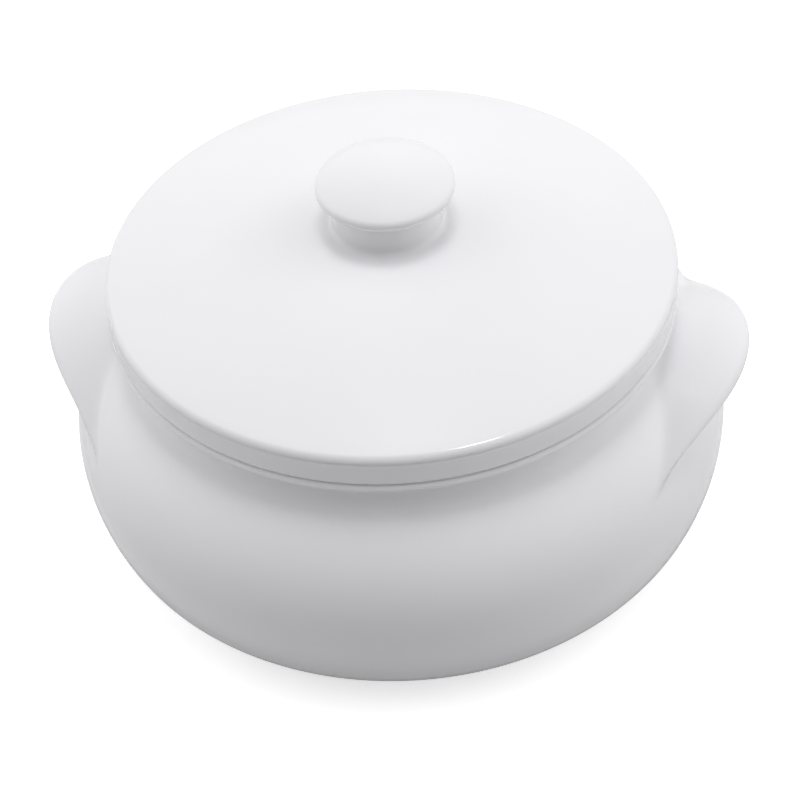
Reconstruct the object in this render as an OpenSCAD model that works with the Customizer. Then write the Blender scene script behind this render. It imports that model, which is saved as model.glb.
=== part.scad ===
// Lidded porcelain bowl: a round-bellied bowl with two ear handles, and a domed lid with a button knob.
// Sizes are in millimetres. +Z is up, the foot stands on Z = 0 and the ears point along X.

/* [Bowl] */
// Height of the rim, on which the lid sits
bowl_h = 61.6; // [56:0.2:70]
// Diameter of the belly, the widest ring of the wall
belly_d = 144.8; // [134:0.2:160]
// Height of the belly above the table
belly_z = 28.3; // [24:0.1:33]
// Radius of the wall's curve below the belly, seen in section
belly_arc_r = 40; // [30:1:60]
// Radius of the corner where the wall turns under to the base
base_corner_r = 16; // [10:0.5:20]
// Diameter of the neck, the narrow ring under the rim
neck_d = 116; // [104:0.5:126]
// Depth of the neck's narrowest ring below the rim
neck_drop = 4.6; // [3.8:0.1:6]
// Radius of the hollow curve at the neck, seen in section
neck_curve_r = 5; // [4.2:0.1:9]
// How far the lip stands out past the neck
lip_reach = 4; // [3:0.1:6]
// Thickness of the lip where it leaves the neck
lip_t = 2.6; // [2.4:0.1:3.4]
// Rounding of the lip's outer edge
lip_round = 0.8; // [0.4:0.1:1.2]
// Rounding of the mouth's inner edge
mouth_round = 1; // [0.3:0.1:2]
// Thickness of the wall and the floor
wall_t = 4.8; // [3:0.1:6.5]

/* [Foot ring] */
// Height of the foot ring
foot_h = 2.5; // [1.5:0.1:5]
// Width of the foot ring's band
foot_w = 4; // [3:0.1:8]
// How far the foot ring stands in from the edge of the flat base
foot_inset = 5; // [1:0.5:12]
// Rounding of the foot ring's two lower edges
foot_round = 0.6; // [0.2:0.1:1.2]

/* [Ears] */
// Height of an ear's edge below the rim, at the middle of the ear
ear_below_rim = 10.3; // [9:0.1:14]
// How far an ear stands out from the wall
ear_reach = 15.6; // [10:0.1:22]
// Angle round the wall from the middle of an ear to where it fades out
ear_spread = 35; // [24:1:40]
// How fast an ear's reach fades towards its ends
ear_fade = 3; // [1.5:0.1:4]
// How much lower the ear's edge lies at its ends
ear_fall = 17; // [6:0.5:18]
// Thickness of an ear at its rounded edge
ear_edge_t = 5; // [3:0.1:7]
// Height above the ear's edge at which its top runs out on the wall
ear_root_up = 5.5; // [3:0.1:5.5]
// How soon the top's run-out gets lower towards the ear's ends
ear_blend = 0.35; // [0.2:0.05:1]
// Depth below the ear's edge at which its underside runs out on the wall
ear_root_down = 12; // [7:0.5:14]

/* [Lid] */
// How far the lid's edge stays inside the lip's edge
lid_setback = 0; // [0:0.1:1]
// Thickness of the lid at its edge
lid_edge_t = 8.3; // [6:0.1:11]
// Rounding of the lid's upper edge
lid_round = 1.8; // [1:0.1:2.5]
// Width of the line turned into the lid's side, under the upper rounding
line_w = 0.9; // [0.8:0.1:1.2]
// Depth of that line
line_d = 0.4; // [0.2:0.05:0.4]
// Rounding of the lid's lower edge
lid_seat_round = 1.6; // [0.2:0.1:2]
// Height of the dome's middle above the lid's edge
dome_rise = 11.9; // [8:0.1:20]
// Thickness of the dome
dome_t = 5; // [3.5:0.1:6.5]
// Rounding inside the lid, where its hollow meets the upright edge
hollow_round = 3; // [1:0.1:4]

/* [Locating ring] */
// Depth to which the ring under the lid drops into the mouth
ring_h = 6; // [3:0.5:12]
// Width of the ring's band
ring_w = 3.5; // [2.5:0.1:6]
// Play between the ring and the mouth, all round
ring_play = 1; // [0.5:0.1:2]
// Rounding of the ring's lower edges
ring_round = 1; // [0.3:0.1:1.2]

/* [Knob] */
// Diameter of the knob's cap
knob_d = 30; // [24:0.5:40]
// Diameter of the stem under the cap
stem_d = 24; // [14:0.5:24]
// Height of the stem from the dome to the underside of the cap
stem_h = 7.6; // [4.5:0.1:14]
// Thickness of the cap at its middle
cap_t = 6.6; // [6:0.1:12]
// Rounding of the cap's edge
cap_round = 1.5; // [1:0.1:2.8]
// Rounding at the top and the foot of the stem
stem_round = 1.3; // [0.5:0.1:2]

/* [Joints] */
// Thickness of the slip layer between a luted piece and the curved face that carries it
slip_t = 0.05; // [0.02:0.01:0.2]
// Thickness at which an ear feathers out on the wall
feather_t = 0.3; // [0.1:0.05:0.6]

/* [Hidden] */
$fn = 144;

glaze = [0.94, 0.94, 0.95];
biscuit = [0.89, 0.87, 0.84];

// Segments of each arc in a section
arc_steps = 12;
// Segments along an ear, from end to end, and along each curve of its section
ear_steps = 36;
ear_curve_steps = 9;
// Share of its middle section that an ear keeps at its two ends
ear_end_share = 0.05;
// Facing of the ear's top and underside where they leave the rounded edge, in degrees from level
ear_top_angle = 80;
ear_under_angle = -65;
// Reach of the curve handles. At the wall, the top's is a share of the drop to the edge.
// The others are shares of the distance that the curve spans.
ear_top_pull = [0.85, 0.5];
ear_under_pull = [0.35, 0.35];

function arc(centre, r, from, to, steps = arc_steps) =
    [for (i = [0:steps]) let (a = from + (to - from) * i / steps) centre + r * [cos(a), sin(a)]];

// Radius of a dome that stands rise above the centre of the rounded edge it runs into
function dome_radius(edge_x, edge_round, rise) =
    (edge_x * edge_x + rise * rise - edge_round * edge_round) / (2 * (rise - edge_round));

// The wall's outer curve: base corner, belly, shoulder and neck are arcs that run into each other
belly_r = belly_d / 2;
neck_r = neck_d / 2;
neck_z = bowl_h - neck_drop;
belly_c = [belly_r - belly_arc_r, belly_z];
corner_drop = belly_z - foot_h - base_corner_r;
corner_out = sqrt(pow(belly_arc_r - base_corner_r, 2) - corner_drop * corner_drop);
corner_c = [belly_c.x + corner_out, foot_h + base_corner_r];
low_angle = -atan2(corner_drop, corner_out);
step_in = belly_r - neck_r;
step_up = neck_z - belly_z;
shoulder_r = (step_in * step_in + step_up * step_up) / (2 * step_in) - neck_curve_r;
shoulder_c = [belly_r - shoulder_r, belly_z];
neck_c = [neck_r + neck_curve_r, neck_z];
shoulder_angle = atan2(neck_c.y - shoulder_c.y, neck_c.x - shoulder_c.x);
shoulder_top = shoulder_c.y + shoulder_r * sin(shoulder_angle);

// Lip, mouth and seat
lip_z = bowl_h - lip_t;
lip_r = neck_r + lip_reach;
mouth_r = neck_r - wall_t;
lip_angle = 180 - asin((lip_z - neck_z) / neck_curve_r);
lip_root = neck_c + neck_curve_r * [cos(lip_angle), sin(lip_angle)];
lip_c = [lip_r - lip_round, bowl_h - lip_round];
lip_span = lip_c - lip_root;
lip_under = atan2(lip_span.y, lip_span.x) + acos(lip_round / norm(lip_span)) - 180;

// Foot ring
foot_r = corner_c.x - foot_inset;

// Lid, locating ring and knob
lid_r = lip_r - lid_setback;
edge_c = [lid_r - lid_round, bowl_h + lid_edge_t - lid_round];
dome_r = dome_radius(edge_c.x, lid_round, dome_rise + lid_round);
dome_c = [0, bowl_h + lid_edge_t + dome_rise - dome_r];
edge_angle = atan2(edge_c.y - dome_c.y, edge_c.x);
line_angle = 2 * atan2(2 * line_d, line_w);
line_r = line_w / 2 / sin(line_angle);
line_c = [lid_r + line_r * cos(line_angle), edge_c.y - line_w / 2];
ring_r = mouth_r - ring_play;
ring_in_r = ring_r - ring_w;
hollow_r = dome_r - dome_t;
hollow_x = ring_in_r - hollow_round;
hollow_angle = acos(hollow_x / (hollow_r - hollow_round));
hollow_c = dome_c + (hollow_r - hollow_round) * [cos(hollow_angle), sin(hollow_angle)];
dome_top = dome_c.y + dome_r;
stem_r = stem_d / 2;
stem_foot_r = stem_r + stem_round;
stem_foot_angle = acos(stem_foot_r / (dome_r + slip_t));
stem_foot_z = dome_c.y + (dome_r + slip_t) * sin(stem_foot_angle);
cap_z = dome_top + stem_h;
cap_c = [knob_d / 2 - cap_round, cap_z + cap_round];
crown_r = dome_radius(cap_c.x, cap_round, cap_t - cap_round);
crown_c = [0, cap_z + cap_t - crown_r];
crown_angle = atan2(cap_c.y - crown_c.y, cap_c.x);

outer_wall = concat(
    arc(corner_c, base_corner_r, -90, low_angle),
    arc(belly_c, belly_arc_r, low_angle, 0),
    arc(shoulder_c, shoulder_r, 0, shoulder_angle),
    arc(neck_c, neck_curve_r, 180 + shoulder_angle, lip_angle));

inner_wall = concat(
    arc(neck_c, neck_curve_r + wall_t, 180, 180 + shoulder_angle),
    arc(shoulder_c, shoulder_r - wall_t, shoulder_angle, 0),
    arc(belly_c, belly_arc_r - wall_t, 0, low_angle),
    arc(corner_c, base_corner_r - wall_t, low_angle, -90));

lip = concat(
    arc(lip_c, lip_round, lip_under, 90),
    arc([mouth_r + mouth_round, bowl_h - mouth_round], mouth_round, 90, 180));

// Radius of the wall's outer face at a height between the base corner and the lip
function wall_r(z) =
    z < belly_z ? belly_c.x + sqrt(belly_arc_r * belly_arc_r - pow(z - belly_z, 2))
    : z < shoulder_top ? shoulder_c.x + sqrt(shoulder_r * shoulder_r - pow(z - belly_z, 2))
    : neck_c.x - sqrt(neck_curve_r * neck_curve_r - pow(z - neck_z, 2));

// Direction up the wall's outer face at a height
function wall_up(z) = let (d = [wall_r(z + slip_t) - wall_r(z - slip_t), 2 * slip_t]) d / norm(d);

// Direction that the wall's outer face looks in at a height, in degrees from level
function wall_facing(z) = atan2(wall_up(z).y, wall_up(z).x) - 90;

function bezier(a, b, c, d, steps) =
    [for (i = [0:steps]) let (t = i / steps, u = 1 - t)
        u * u * u * a + 3 * u * u * t * b + 3 * u * t * t * c + t * t * t * d];

function heading(a) = [cos(a), sin(a)];

// Section of an ear, as [radius, height] points, at a place from -1 at one end of the ear to 1 at the other
function ear_section(place) =
    let (
        fade = pow(1 - place * place, ear_fade),
        share = ear_end_share + (1 - ear_end_share) * fade,
        z = bowl_h - ear_below_rim - ear_fall * place * place,
        round_r = ear_edge_t / 2 * share,
        skin = slip_t + feather_t * share,
        centre = [wall_r(z) + skin + (1 - fade) * round_r + fade * (ear_reach - round_r), z],
        high = z + ear_root_up * pow(share, ear_blend),
        low = z - ear_root_down * share,
        top_root = [wall_r(high) + skin, high],
        low_root = [wall_r(low) + skin, low],
        top_angle = wall_facing(z) + (ear_top_angle - wall_facing(z)) * sqrt(share),
        top_edge = centre + round_r * heading(top_angle),
        low_edge = centre + round_r * heading(ear_under_angle),
        top_span = norm(top_edge - top_root),
        low_span = norm(low_edge - low_root),
        top = bezier(
            top_root,
            top_root - ear_top_pull[0] * (high - top_edge.y) / wall_up(high).y * wall_up(high),
            top_edge + ear_top_pull[1] * top_span * heading(top_angle + 90),
            top_edge, ear_curve_steps),
        edge = arc(centre, round_r, top_angle, ear_under_angle, ear_curve_steps),
        under = bezier(
            low_edge,
            low_edge + ear_under_pull[1] * low_span * heading(ear_under_angle - 90),
            low_root + ear_under_pull[0] * low_span * wall_up(low),
            low_root, ear_curve_steps),
        bare = concat(top, [for (i = [1:ear_curve_steps]) edge[i]], [for (i = [1:ear_curve_steps]) under[i]]),
        face = [for (p = bare) [max(p.x, wall_r(p.y) + skin), p.y]],
        back = [for (i = [0:ear_curve_steps]) let (h = low + (high - low) * i / ear_curve_steps)
            [wall_r(h) + slip_t, h]])
    concat(face, back);

module turned(section) {
    rotate_extrude() polygon(section);
}

module bowl_body() {
    color(glaze) turned(concat([[0, foot_h]], outer_wall, lip, inner_wall, [[0, foot_h + wall_t]]));
}

module foot_ring() {
    color(biscuit) turned(concat(
        arc([foot_r - foot_w + foot_round, foot_round], foot_round, 180, 270),
        arc([foot_r - foot_round, foot_round], foot_round, 270, 360),
        [[foot_r, foot_h], [foot_r - foot_w, foot_h]]));
}

// One ear, lofted from its sections round the wall, pointing along +X
module ear() {
    sections = [for (i = [0:ear_steps]) ear_section(2 * i / ear_steps - 1)];
    count = len(sections[0]);
    points = [for (i = [0:ear_steps]) let (a = ear_spread * (2 * i / ear_steps - 1))
        for (p = sections[i]) [p.x * cos(a), p.x * sin(a), p.y]];
    sides = [for (i = [0:ear_steps - 1]) for (j = [0:count - 1])
        let (k = (j + 1) % count, near = i * count, far = near + count)
        for (f = [[near + j, near + k, far + k], [near + j, far + k, far + j]]) f];
    first_end = [for (j = [count - 1:-1:0]) j];
    last_end = [for (j = [0:count - 1]) ear_steps * count + j];
    polyhedron(points, concat(sides, [first_end, last_end]));
}

module right_ear() {
    color(glaze) ear();
}

module left_ear() {
    color(glaze) rotate(180) ear();
}

module lid_cover() {
    color(glaze) turned(concat(
        arc(dome_c, dome_r, 90, edge_angle),
        arc(edge_c, lid_round, edge_angle, 0),
        arc(line_c, line_r, 180 - line_angle, 180 + line_angle),
        arc([lid_r - lid_seat_round, bowl_h + lid_seat_round], lid_seat_round, 0, -90),
        [[ring_in_r, bowl_h]],
        arc(hollow_c, hollow_round, 0, hollow_angle),
        arc(dome_c, hollow_r, hollow_angle, 90)));
}

module locating_ring() {
    color(glaze) turned(concat(
        arc([ring_in_r + ring_round, bowl_h - ring_h + ring_round], ring_round, 180, 270),
        arc([ring_r - ring_round, bowl_h - ring_h + ring_round], ring_round, 270, 360),
        [[ring_r, bowl_h], [ring_in_r, bowl_h]]));
}

module lid_knob() {
    color(glaze) turned(concat(
        arc(dome_c, dome_r + slip_t, 90, stem_foot_angle),
        arc([stem_foot_r, stem_foot_z + stem_round], stem_round, 270, 180),
        arc([stem_foot_r, cap_z - stem_round], stem_round, 180, 90),
        arc(cap_c, cap_round, -90, crown_angle),
        arc(crown_c, crown_r, crown_angle, 90)));
}

bowl_body();
foot_ring();
left_ear();
right_ear();
lid_cover();
locating_ring();
lid_knob();
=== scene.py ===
import math

import bpy
import numpy as np
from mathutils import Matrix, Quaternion, Vector


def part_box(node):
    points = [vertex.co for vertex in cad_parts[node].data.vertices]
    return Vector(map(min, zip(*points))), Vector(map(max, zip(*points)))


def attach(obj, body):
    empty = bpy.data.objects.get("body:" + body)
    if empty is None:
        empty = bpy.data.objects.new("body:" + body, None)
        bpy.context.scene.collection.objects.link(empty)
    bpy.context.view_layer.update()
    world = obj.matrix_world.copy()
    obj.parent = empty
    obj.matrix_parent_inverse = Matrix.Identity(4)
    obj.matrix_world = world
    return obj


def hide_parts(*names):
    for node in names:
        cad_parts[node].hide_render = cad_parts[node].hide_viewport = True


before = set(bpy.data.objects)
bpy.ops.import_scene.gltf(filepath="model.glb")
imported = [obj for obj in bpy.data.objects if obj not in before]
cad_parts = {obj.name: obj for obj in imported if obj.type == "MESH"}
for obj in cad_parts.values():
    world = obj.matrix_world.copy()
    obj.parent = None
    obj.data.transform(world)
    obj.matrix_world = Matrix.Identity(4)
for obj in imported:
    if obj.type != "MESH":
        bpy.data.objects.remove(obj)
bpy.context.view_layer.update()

MM = 0.001


def dome_radius(edge_out, rise, edge_round):
    """Radius of a dome that stands rise above the centre of the rounded edge it runs into."""
    return (edge_out ** 2 + rise ** 2 - edge_round ** 2) / (2 * (rise - edge_round))


# Places read from the frame
bowl_low, bowl_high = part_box("bowl_body")
foot_low, foot_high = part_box("foot_ring")
lid_low, lid_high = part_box("lid_cover")
ring_low, ring_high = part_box("locating_ring")
knob_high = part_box("lid_knob")[1]

# The bowl's wall in section: base corner, belly, shoulder and neck are arcs, each running into
# the next
rim_z = bowl_high.z
base_z = bowl_low.z
belly_r = bowl_high.x
belly_z = 28.3 * MM
belly_arc_r = 40 * MM
base_corner_r = 16 * MM
neck_r = 58 * MM
neck_z = rim_z - 4.6 * MM
neck_curve_r = 5 * MM
wall_t = 4.8 * MM

belly_c = (belly_r - belly_arc_r, belly_z)
corner_drop = belly_z - base_z - base_corner_r
corner_out = math.sqrt((belly_arc_r - base_corner_r) ** 2 - corner_drop ** 2)
corner_c = (belly_c[0] + corner_out, base_z + base_corner_r)
low_angle = -math.degrees(math.atan2(corner_drop, corner_out))
step_in = belly_r - neck_r
step_up = neck_z - belly_z
shoulder_r = (step_in ** 2 + step_up ** 2) / (2 * step_in) - neck_curve_r
shoulder_c = (belly_r - shoulder_r, belly_z)
neck_c = (neck_r + neck_curve_r, neck_z)
shoulder_angle = math.degrees(math.atan2(neck_c[1] - shoulder_c[1], neck_c[0] - shoulder_c[0]))
shoulder_top = belly_z + shoulder_r * math.sin(math.radians(shoulder_angle))

# Lip and mouth
lip_r = neck_r + 4 * MM
lip_z = rim_z - 2.6 * MM
lip_round = 0.8 * MM
lip_angle = 180 - math.degrees(math.asin((lip_z - neck_z) / neck_curve_r))
mouth_r = neck_r - wall_t
mouth_round = 1 * MM

# Ears: the spread and the two angles are in degrees, the fade and the blend are powers
ear_z = rim_z - 10.3 * MM
ear_reach = 15.6 * MM
ear_spread = 35
ear_fade = 3
ear_fall = 17 * MM
ear_edge_r = 2.5 * MM
ear_root_up = 5.5 * MM
ear_blend = 0.35
ear_root_down = 12 * MM
ear_top_angle = 80
ear_under_angle = -65
# Reach of the handles of an ear's curves, as shares of the lengths they span
ear_top_handle = 0.5
ear_under_handle = 0.35
ear_run_out = 0.85

# Foot ring
foot_w = 4 * MM
foot_round = 0.6 * MM
foot_fillet = 0.8 * MM

# Lid: the dome is a sphere that runs into the edge's rounding, and its hollow has the same centre
lid_r = lid_high.x
lid_edge_t = 8.3 * MM
lid_round = 1.8 * MM
line_w = 1 * MM
line_d = 0.4 * MM
lid_seat_round = 1.6 * MM
dome_t = 5 * MM
under_round = 3 * MM
edge_c = (lid_r - lid_round, lid_low.z + lid_edge_t - lid_round)
dome_rise = lid_high.z - edge_c[1]
dome_r = dome_radius(edge_c[0], dome_rise, lid_round)
dome_c_z = lid_high.z - dome_r
edge_angle = math.degrees(math.atan2(edge_c[1] - dome_c_z, edge_c[0]))

# Locating ring, whose inner side runs on into the lid's hollow
hollow_r = ring_high.x - 3.5 * MM
ring_round = 1 * MM
ring_fillet = 0.5 * MM

# Knob
stem_r = 12 * MM
stem_round = 1.3 * MM
cap_z = lid_high.z + 7.6 * MM
cap_round = 1.5 * MM

# Camera, floor and room light
view_azimuth = 11.4
view_elevation = 42.03
view_roll = 4.14
view_distance = 0.7
view_middle = Vector((0, 0, 38.5 * MM))
view_lens = 141.3
sensor_w = 36
frame_right = 0.4 * MM
frame_drop = 7.29 * MM
floor_size = 20
floor_tone = 0.55
floor_tone_seen = 0.9
floor_lift = 0.6

# Soft light of the room: azimuth from the front towards the right and elevation, both in degrees,
# then how narrow and how strong. The light from overhead leans a little to the back
ROOM_LIGHT = (
    (180, 86, 90, 13),
    (101, 40, 6, 1.76),
    (101, 12, 12, 1.45),
    (191, 40, 6, 0.45),
    (236, 15, 20, 1.85),
    (281, 40, 6, 1.7))

# Small lamp whose glint runs along the lid's edge: angles in degrees, lengths in metres
glint_azimuth = 53
glint_elevation = 67
glint_distance = 1
glint_size = (0.2, 0.08)
glint_radiance = 40

# Columns round the large and the small turned pieces, rows up the bowl's outer wall, and points
# along one arc, one dome and the turned line
COLUMNS = 288
SMALL_COLUMNS = 144
WALL_ROWS = 150
ARC_POINTS = 14
DOME_POINTS = 40
LINE_POINTS = 14

# Points closer than this are merged, and edges flatter than this angle are shaded smooth
MERGE = 0.002 * MM
SMOOTH_ANGLE = 50


def arc(centre, radius, start, end, points=ARC_POINTS):
    """Points along an arc in a section, from one angle to another, in degrees from level."""
    angles = [math.radians(start + (end - start) * i / points) for i in range(points + 1)]
    return [(centre[0] + radius * math.cos(a), centre[1] + radius * math.sin(a)) for a in angles]


def straight(start, end):
    """Points between two ends, with one close to each end so that the shading stays flat."""
    shares = (0.03, 0.35, 0.65, 0.97)
    return [tuple(a + (b - a) * s for a, b in zip(start, end)) for s in shares]


def curve(a, b, c, d, points=ARC_POINTS):
    """Points along a Bezier curve from a to d, with its handles at b and c."""
    found = []
    for i in range(points + 1):
        t = i / points
        u = 1 - t
        weights = (u ** 3, 3 * u * u * t, 3 * u * t * t, t ** 3)
        found.append(tuple(sum(w * p[k] for w, p in zip(weights, (a, b, c, d))) for k in (0, 1)))
    return found


def evenly(points, count):
    """The same line as points, with count points evenly spaced along it."""
    line = np.array(points)
    steps = np.hypot(*np.diff(line, axis=0).T)
    length = np.concatenate(([0], np.cumsum(steps)))
    places = np.linspace(0, length[-1], count)
    return np.stack([np.interp(places, length, line[:, k]) for k in (0, 1)], axis=1)


def moved(point, angle, distance):
    """A point of a section moved in a direction, in degrees from level."""
    a = math.radians(angle)
    return (point[0] + distance * math.cos(a), point[1] + distance * math.sin(a))


def closed(section):
    """A section that comes back to its first point."""
    return section + section[:1]


def turned(name, section, columns=COLUMNS):
    """Draws a section by extruding one vertex along it, and spins it about the upright axis."""
    bpy.ops.object.select_all(action="DESELECT")
    bpy.ops.mesh.primitive_plane_add(size=1)
    piece = bpy.context.object
    piece.name = name
    bpy.ops.object.mode_set(mode="EDIT")
    bpy.ops.mesh.merge(type="CENTER")
    at = (0, 0)
    for i, point in enumerate(section):
        step = (point[0] - at[0], 0, point[1] - at[1])
        if i == 0:
            bpy.ops.transform.translate(value=step)
        else:
            bpy.ops.mesh.extrude_region_move(TRANSFORM_OT_translate={"value": step})
        at = point
    bpy.ops.mesh.select_all(action="SELECT")
    bpy.ops.mesh.spin(steps=columns, angle=math.tau, center=(0, 0, 0), axis=(0, 0, 1))
    bpy.ops.mesh.select_all(action="SELECT")
    bpy.ops.mesh.remove_doubles(threshold=MERGE)
    bpy.ops.mesh.normals_make_consistent(inside=False)
    bpy.ops.object.mode_set(mode="OBJECT")
    bpy.ops.object.shade_smooth_by_angle(angle=math.radians(SMOOTH_ANGLE))
    return piece


def wall_radius(z):
    """Radius of the bowl's outer face at a height above the base corner."""
    if z < belly_z:
        return belly_c[0] + math.sqrt(belly_arc_r ** 2 - (z - belly_z) ** 2)
    if z < shoulder_top:
        return shoulder_c[0] + math.sqrt(shoulder_r ** 2 - (z - belly_z) ** 2)
    return neck_c[0] - math.sqrt(neck_curve_r ** 2 - (z - neck_z) ** 2)


def wall_slope(z):
    """Direction up the bowl's outer face at a height, in degrees from level."""
    small = 0.05 * MM
    return math.degrees(math.atan2(2 * small, wall_radius(z + small) - wall_radius(z - small)))


def ear_face(place):
    """Section of an ear, from its low root round its edge to its top root. Place runs from -1 to 1
    along the ear."""
    fade = (1 - place * place) ** ear_fade
    z = ear_z - ear_fall * place * place
    edge_r = ear_edge_r * fade
    centre = (wall_radius(z) + fade * (ear_reach - ear_edge_r * fade), z)
    high = z + ear_root_up * fade ** ear_blend
    low = z - ear_root_down * fade
    wall_faces = wall_slope(z) - 90
    top_angle = wall_faces + (ear_top_angle - wall_faces) * math.sqrt(fade)
    top_root = (wall_radius(high), high)
    low_root = (wall_radius(low), low)
    top_edge = moved(centre, top_angle, edge_r)
    low_edge = moved(centre, ear_under_angle, edge_r)
    top_span = math.dist(top_edge, top_root)
    low_span = math.dist(low_edge, low_root)
    run_out = ear_run_out * (high - top_edge[1]) / math.sin(math.radians(wall_slope(high)))
    under = curve(
        low_root,
        moved(low_root, wall_slope(low), ear_under_handle * low_span),
        moved(low_edge, ear_under_angle - 90, ear_under_handle * low_span),
        low_edge)
    edge = arc(centre, edge_r, ear_under_angle, top_angle)
    top = curve(
        top_edge,
        moved(top_edge, top_angle + 90, ear_top_handle * top_span),
        moved(top_root, wall_slope(high) + 180, run_out),
        top_root)
    return [(max(r, wall_radius(h)), h) for r, h in under + edge[1:] + top[1:]]


def wall_line(turn):
    """The bowl's outer face in section, ear and all, at a turn in degrees from +X."""
    fine = 4 * ARC_POINTS
    wall = (
        arc(corner_c, base_corner_r, -90, low_angle, fine)
        + arc(belly_c, belly_arc_r, low_angle, 0, fine)[1:]
        + arc(shoulder_c, shoulder_r, 0, shoulder_angle, fine)[1:]
        + arc(neck_c, neck_curve_r, 180 + shoulder_angle, lip_angle, fine)[1:])
    from_ear = (turn + 90) % 180 - 90
    place = from_ear / ear_spread
    if abs(place) < 1:
        ear = ear_face(place)
        below = [p for p in wall if p[1] < ear[0][1]]
        above = [p for p in wall if p[1] > ear[-1][1]]
        wall = below + ear + above
    return evenly(wall, WALL_ROWS)


def make_bowl():
    """The bowl with its ears as one glazed skin, inside and out."""
    wall = wall_line(90)
    lip_c = (lip_r - lip_round, rim_z - lip_round)
    lip_out, lip_up = lip_c[0] - wall[-1][0], lip_c[1] - wall[-1][1]
    lip_span = math.hypot(lip_out, lip_up)
    lip_under = math.degrees(math.atan2(lip_up, lip_out) + math.acos(lip_round / lip_span)) - 180
    mouth_c = (mouth_r + mouth_round, rim_z - mouth_round)
    floor_z = base_z + wall_t
    corner_in_r = base_corner_r - wall_t
    section = (
        [(0, base_z)]
        + straight((0, base_z), tuple(wall[0]))
        + [tuple(p) for p in wall]
        + straight(tuple(wall[-1]), moved(lip_c, lip_under, lip_round))
        + arc(lip_c, lip_round, lip_under, 90)
        + straight((lip_c[0], rim_z), (mouth_c[0], rim_z))
        + arc(mouth_c, mouth_round, 90, 180)
        + straight((mouth_r, mouth_c[1]), (mouth_r, neck_z))
        + arc(neck_c, neck_curve_r + wall_t, 180, 180 + shoulder_angle)
        + arc(shoulder_c, shoulder_r - wall_t, shoulder_angle, 0)
        + arc(belly_c, belly_arc_r - wall_t, 0, low_angle)
        + arc(corner_c, corner_in_r, low_angle, -90)
        + straight((corner_c[0], floor_z), (0, floor_z))
        + [(0, floor_z)])
    bowl = turned("bowl", section)
    pull_ears(bowl, wall)
    return bowl


def pull_ears(bowl, wall):
    """Moves the rows of the outer wall to the section that the ears give at each angle."""
    mesh = bowl.data
    place = np.empty(len(mesh.vertices) * 3)
    mesh.vertices.foreach_get("co", place)
    place = place.reshape(-1, 3)
    away = np.hypot(place[:, 0], place[:, 1])
    distance = np.hypot(away[:, None] - wall[:, 0], place[:, 2, None] - wall[:, 1])
    row = distance.argmin(axis=1)
    near_enough = 0.01 * MM
    on_wall = distance.min(axis=1) < near_enough
    turns = np.arctan2(place[:, 1], place[:, 0]) / math.tau
    column = np.rint(turns * COLUMNS).astype(int) % COLUMNS
    for c in range(COLUMNS):
        turn = 360 * c / COLUMNS
        if abs((turn + 90) % 180 - 90) < ear_spread:
            line = wall_line(turn)
            found = np.flatnonzero(on_wall & (column == c))
            target = line[row[found]]
            a = math.radians(turn)
            place[found] = np.stack(
                [target[:, 0] * math.cos(a), target[:, 0] * math.sin(a), target[:, 1]], axis=1)
    mesh.vertices.foreach_set("co", place.ravel())
    mesh.update()


def make_foot_ring():
    """The ring under the base, with a small fillet where its glazed sides meet the base."""
    inner_r = foot_high.x - foot_w
    side_low = foot_low.z + foot_round
    side_high = foot_high.z - foot_fillet
    return turned("foot_ring", closed(
        arc((inner_r - foot_fillet, side_high), foot_fillet, 90, 0)
        + straight((inner_r, side_high), (inner_r, side_low))
        + arc((inner_r + foot_round, side_low), foot_round, 180, 270)
        + straight((inner_r + foot_round, foot_low.z), (foot_high.x - foot_round, foot_low.z))
        + arc((foot_high.x - foot_round, side_low), foot_round, 270, 360)
        + straight((foot_high.x, side_low), (foot_high.x, side_high))
        + arc((foot_high.x + foot_fillet, side_high), foot_fillet, 180, 90)), SMALL_COLUMNS)


def turned_line():
    """The line round the lid's side, under the rounding, with both edges softened by the glaze."""
    shares = [i / LINE_POINTS for i in range(1, LINE_POINTS)]
    depths = [line_d * (1 - math.cos(math.tau * s)) / 2 for s in shares]
    return [(lid_r - d, edge_c[1] - line_w * s) for d, s in zip(depths, shares)]


def make_lid_cover():
    """The domed cover with its thick edge, flat seat and hollow underside."""
    corner_r = hollow_r - under_round
    corner_z = dome_c_z + math.sqrt((dome_r - dome_t - under_round) ** 2 - corner_r ** 2)
    corner_angle = math.degrees(math.atan2(corner_z - dome_c_z, corner_r))
    seat_out = (lid_r - lid_seat_round, lid_low.z + lid_seat_round)
    return turned("lid_cover", (
        arc((0, dome_c_z), dome_r, 90, edge_angle, DOME_POINTS)
        + arc(edge_c, lid_round, edge_angle, 0)
        + turned_line()
        + straight((lid_r, edge_c[1] - line_w), (lid_r, seat_out[1]))
        + arc(seat_out, lid_seat_round, 0, -90)
        + straight((seat_out[0], lid_low.z), (hollow_r, lid_low.z))
        + [(hollow_r, lid_low.z)]
        + straight((hollow_r, lid_low.z), (hollow_r, corner_z))
        + arc((corner_r, corner_z), under_round, 0, corner_angle)
        + arc((0, dome_c_z), dome_r - dome_t, corner_angle, 90, DOME_POINTS)))


def make_locating_ring():
    """The ring under the cover, with a small fillet where its outer side meets the seat."""
    low_c = ring_low.z + ring_round
    side_high = ring_high.z - ring_fillet
    return turned("locating_ring", closed(
        [(hollow_r, ring_high.z)]
        + straight((hollow_r, ring_high.z), (hollow_r, low_c))
        + arc((hollow_r + ring_round, low_c), ring_round, 180, 270)
        + straight((hollow_r + ring_round, ring_low.z), (ring_high.x - ring_round, ring_low.z))
        + arc((ring_high.x - ring_round, low_c), ring_round, 270, 360)
        + straight((ring_high.x, low_c), (ring_high.x, side_high))
        + arc((ring_high.x + ring_fillet, side_high), ring_fillet, 180, 90)), SMALL_COLUMNS)


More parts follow.
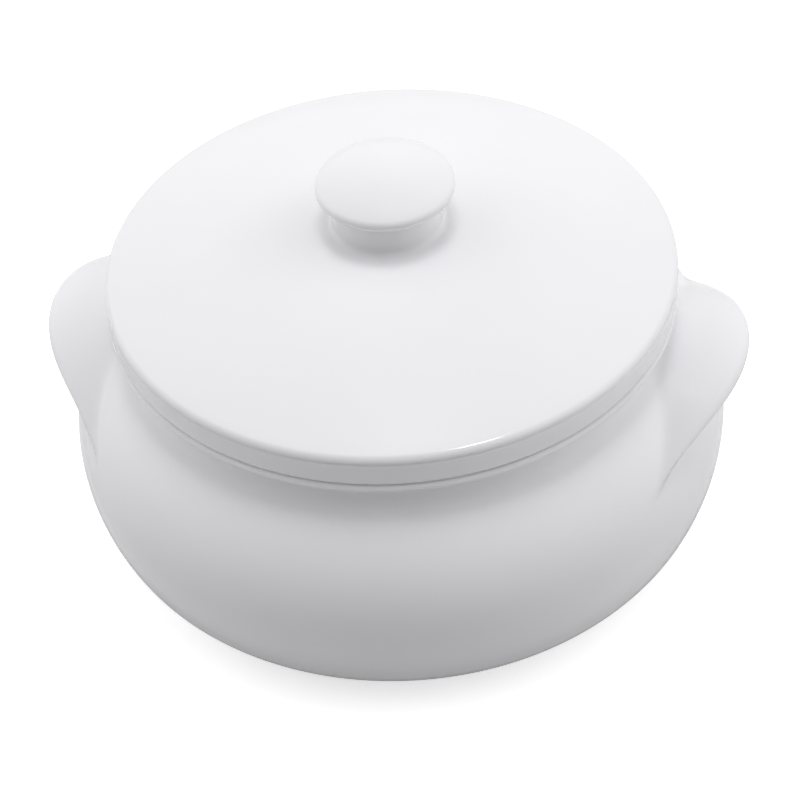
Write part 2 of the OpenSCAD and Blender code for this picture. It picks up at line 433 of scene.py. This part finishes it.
def make_lid_knob():
    """The button knob: a crowned cap on a waisted stem that flows out on the dome."""
    cap_r = knob_high.x
    cap_c = (cap_r - cap_round, cap_z + cap_round)
    crown_r = dome_radius(cap_c[0], knob_high.z - cap_c[1], cap_round)
    crown_z = knob_high.z - crown_r
    crown_angle = math.degrees(math.atan2(cap_c[1] - crown_z, cap_c[0]))
    foot_r = stem_r + stem_round
    foot_angle = math.degrees(math.acos(foot_r / dome_r))
    foot_z = dome_c_z + dome_r * math.sin(math.radians(foot_angle))
    return turned("lid_knob", (
        arc((0, dome_c_z), dome_r, 90, foot_angle)
        + arc((foot_r, foot_z + stem_round), stem_round, 270, 180)
        + straight((stem_r, foot_z + stem_round), (stem_r, cap_z - stem_round))
        + arc((foot_r, cap_z - stem_round), stem_round, 180, 90)
        + straight((foot_r, cap_z), (cap_c[0], cap_z))
        + arc(cap_c, cap_round, -90, crown_angle)
        + arc((0, crown_z), crown_r, crown_angle, 90)), SMALL_COLUMNS)


def to_linear(colour):
    """An sRGB hex colour as linear red, green, blue and alpha."""
    parts = [int(colour[i:i + 2], 16) / 255 for i in (1, 3, 5)]
    return [c / 12.92 if c <= 0.04045 else ((c + 0.055) / 1.055) ** 2.4 for c in parts] + [1]


def add_node(tree, kind, settings=None, links=None):
    """Adds a node, sets its properties or sockets by name, and links outputs to its sockets."""
    node = tree.nodes.new(kind)
    for name, value in (settings or {}).items():
        if isinstance(name, str) and hasattr(node, name):
            setattr(node, name, value)
        else:
            node.inputs[name].default_value = value
    for name, output in (links or {}).items():
        tree.links.new(output, node.inputs[name])
    return node


def new_material(name):
    """A node material with no nodes yet, and its tree."""
    material = bpy.data.materials.new(name)
    material.use_nodes = True
    material.node_tree.nodes.clear()
    return material, material.node_tree


def glazed_porcelain():
    """White porcelain under a clear, high-fired glaze: glossy, with a faint drift of tone where the
    glaze lies thicker, a surface that waves slightly, and the fine peel of a melted glaze."""
    drift_size, wave_size, peel_size = 30 * MM, 22 * MM, 1.6 * MM
    wave_depth, peel_depth = 0.05 * MM, 0.001 * MM
    thin_tone, thick_tone = to_linear("#F4F3F6"), to_linear("#F0EFF2")
    smoothest, roughest = 0.07, 0.11
    glaze_ior = 1.52
    material, tree = new_material("glazed_porcelain")
    place = add_node(tree, "ShaderNodeTexCoord").outputs["Object"]
    drift, wave, peel = [
        add_node(
            tree, "ShaderNodeTexNoise", {"Scale": 1 / size, "Detail": detail},
            {"Vector": place}).outputs["Fac"]
        for size, detail in ((drift_size, 2), (wave_size, 1), (peel_size, 1))]
    tone = add_node(
        tree, "ShaderNodeMix", {"data_type": "RGBA", 6: thin_tone, 7: thick_tone}, {0: drift})
    gloss = add_node(
        tree, "ShaderNodeMapRange", {"To Min": smoothest, "To Max": roughest}, {"Value": drift})
    waved = add_node(
        tree, "ShaderNodeBump", {"Strength": 1, "Distance": wave_depth}, {"Height": wave})
    peeled = add_node(
        tree, "ShaderNodeBump", {"Strength": 1, "Distance": peel_depth},
        {"Height": peel, "Normal": waved.outputs["Normal"]})
    shader = add_node(
        tree, "ShaderNodeBsdfPrincipled", {"IOR": glaze_ior},
        {"Base Color": tone.outputs[2],
         "Roughness": gloss.outputs["Result"],
         "Normal": peeled.outputs["Normal"]})
    add_node(tree, "ShaderNodeOutputMaterial", links={"Surface": shader.outputs["BSDF"]})
    return material


def biscuit_porcelain():
    """Bare fired porcelain where the glaze was wiped off: matt, warmer than the glaze and finely
    gritty."""
    stain_size, grit_size = 9 * MM, 0.35 * MM
    grit_depth = 0.03 * MM
    clean_tone, stained_tone = to_linear("#E9E5DE"), to_linear("#DAD3C8")
    biscuit_ior, biscuit_roughness = 1.5, 0.8
    material, tree = new_material("biscuit_porcelain")
    place = add_node(tree, "ShaderNodeTexCoord").outputs["Object"]
    stain, grit = [
        add_node(
            tree, "ShaderNodeTexNoise", {"Scale": 1 / size, "Detail": detail},
            {"Vector": place}).outputs["Fac"]
        for size, detail in ((stain_size, 4), (grit_size, 3))]
    tone = add_node(
        tree, "ShaderNodeMix", {"data_type": "RGBA", 6: clean_tone, 7: stained_tone}, {0: stain})
    rough = add_node(
        tree, "ShaderNodeBump", {"Strength": 1, "Distance": grit_depth}, {"Height": grit})
    shader = add_node(
        tree, "ShaderNodeBsdfPrincipled", {"IOR": biscuit_ior, "Roughness": biscuit_roughness},
        {"Base Color": tone.outputs[2], "Normal": rough.outputs["Normal"]})
    add_node(tree, "ShaderNodeOutputMaterial", links={"Surface": shader.outputs["BSDF"]})
    return material


def finish(piece, body, nodes, materials):
    """Gives a piece its materials, the body it rides on and the nodes it stands for."""
    for material in materials:
        piece.data.materials.append(material)
    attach(piece, body)
    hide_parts(*nodes)


def bare_below(piece, height):
    """Gives the second material to the faces whose middle lies below a height."""
    for face in piece.data.polygons:
        face.material_index = 1 if face.center.z < height else 0


def toward(azimuth, elevation):
    """A direction from the bowl, by azimuth from the front towards the right and by elevation."""
    a, e = math.radians(azimuth), math.radians(elevation)
    return Vector((math.sin(a) * math.cos(e), -math.cos(a) * math.cos(e), math.sin(e)))


def add_glint(piece):
    """The small lamp, which shows in one piece's reflections and nowhere else. Radiance 1 is
    white."""
    lamp = bpy.data.lights.new("glint", "AREA")
    lamp.shape = "RECTANGLE"
    lamp.size, lamp.size_y = glint_size
    lamp.energy = glint_radiance * math.pi * glint_size[0] * glint_size[1]
    light = bpy.data.objects.new("glint", lamp)
    bpy.context.scene.collection.objects.link(light)
    away = toward(glint_azimuth, glint_elevation)
    light.location = view_middle + glint_distance * away
    light.rotation_mode = "QUATERNION"
    light.rotation_quaternion = (-away).to_track_quat("-Z", "Y")
    light.visible_camera = False
    light.visible_diffuse = False
    lit = bpy.data.collections.new("glint_lit")
    lit.objects.link(piece)
    light.light_linking.receiver_collection = lit


def white_to(tree):
    """Two factors: 1 for rays from the camera or through glass, and 1 for those and for
    reflections."""
    path = add_node(tree, "ShaderNodeLightPath").outputs
    through = add_node(
        tree, "ShaderNodeMath", {"operation": "MAXIMUM"},
        {0: path["Is Camera Ray"], 1: path["Is Transmission Ray"]}).outputs[0]
    seen = add_node(
        tree, "ShaderNodeMath", {"operation": "MAXIMUM"},
        {0: through, 1: path["Is Glossy Ray"]}).outputs[0]
    return through, seen


def add_floor():
    """A plain pale floor that the camera and reflections see as white, with the bowl's shadow on
    it."""
    bpy.ops.object.select_all(action="DESELECT")
    bpy.ops.mesh.primitive_plane_add(size=floor_size)
    floor = bpy.context.object
    floor.name = "floor"
    material, tree = new_material("white_floor")
    through, seen = white_to(tree)
    lit_tone, seen_tone = [[grey, grey, grey, 1] for grey in (floor_tone, floor_tone_seen)]
    tone = add_node(
        tree, "ShaderNodeMix", {"data_type": "RGBA", 6: lit_tone, 7: seen_tone},
        {0: seen}).outputs[2]
    paper = add_node(tree, "ShaderNodeBsdfDiffuse", links={"Color": tone}).outputs["BSDF"]
    lift = add_node(
        tree, "ShaderNodeMath", {"operation": "MULTIPLY", 1: floor_lift}, {0: through}).outputs[0]
    white = add_node(tree, "ShaderNodeEmission", links={"Strength": lift}).outputs["Emission"]
    both = add_node(tree, "ShaderNodeAddShader", links={0: paper, 1: white}).outputs["Shader"]
    add_node(tree, "ShaderNodeOutputMaterial", links={"Surface": both})
    floor.data.materials.append(material)


def add_world():
    """Soft light from overhead, the sides and the back, in a room that the camera and reflections
    see as white."""
    world = bpy.data.worlds.new("room")
    bpy.context.scene.world = world
    world.use_nodes = True
    tree = world.node_tree
    tree.nodes.clear()
    place = add_node(tree, "ShaderNodeTexCoord").outputs["Generated"]
    total = add_node(tree, "ShaderNodeMath", {"operation": "ADD", 0: 0, 1: 0}).outputs[0]
    for azimuth, elevation, narrow, strength in ROOM_LIGHT:
        near = add_node(
            tree, "ShaderNodeVectorMath",
            {"operation": "DOT_PRODUCT", 1: toward(azimuth, elevation)},
            {0: place}).outputs["Value"]
        facing = add_node(
            tree, "ShaderNodeMath", {"operation": "MAXIMUM", 1: 0}, {0: near}).outputs[0]
        soft = add_node(
            tree, "ShaderNodeMath", {"operation": "POWER", 1: narrow}, {0: facing}).outputs[0]
        total = add_node(
            tree, "ShaderNodeMath", {"operation": "MULTIPLY_ADD", 1: strength},
            {0: soft, 2: total}).outputs[0]
    seen = white_to(tree)[1]
    level = add_node(
        tree, "ShaderNodeMix", {"data_type": "FLOAT", 3: 1}, {0: seen, 2: total}).outputs[0]
    back = add_node(
        tree, "ShaderNodeBackground", {"Color": (1, 1, 1, 1)}, {"Strength": level}).outputs[0]
    add_node(tree, "ShaderNodeOutputWorld", links={"Surface": back})


def add_camera():
    """The camera, at the photograph's angle and framing."""
    back = toward(view_azimuth, view_elevation)
    camera = bpy.data.objects.new("camera", bpy.data.cameras.new("camera"))
    bpy.context.scene.collection.objects.link(camera)
    camera.data.lens = view_lens
    camera.data.sensor_width = sensor_w
    camera.location = view_middle + back * view_distance
    roll = Quaternion((0, 0, 1), math.radians(-view_roll))
    turn = (-back).to_track_quat("-Z", "Y") @ roll
    aim = view_middle + turn @ Vector((frame_right, -frame_drop, 0))
    camera.rotation_mode = "QUATERNION"
    camera.rotation_quaternion = (aim - camera.location).to_track_quat("-Z", "Y") @ roll
    bpy.context.scene.camera = camera


glaze = glazed_porcelain()
biscuit = biscuit_porcelain()

finish(make_bowl(), "bowl", ["bowl_body", "left_ear", "right_ear"], [glaze])
foot_ring = make_foot_ring()
finish(foot_ring, "bowl", ["foot_ring"], [glaze, biscuit])
bare_below(foot_ring, foot_low.z + foot_round)
lid_cover = make_lid_cover()
finish(lid_cover, "lid", ["lid_cover"], [glaze])
locating_ring = make_locating_ring()
finish(locating_ring, "lid", ["locating_ring"], [glaze, biscuit])
bare_below(locating_ring, ring_low.z + ring_round / 2)
finish(make_lid_knob(), "lid", ["lid_knob"], [glaze])

add_floor()
add_world()
add_glint(lid_cover)
add_camera()
bpy.context.scene.view_settings.view_transform = "Standard"
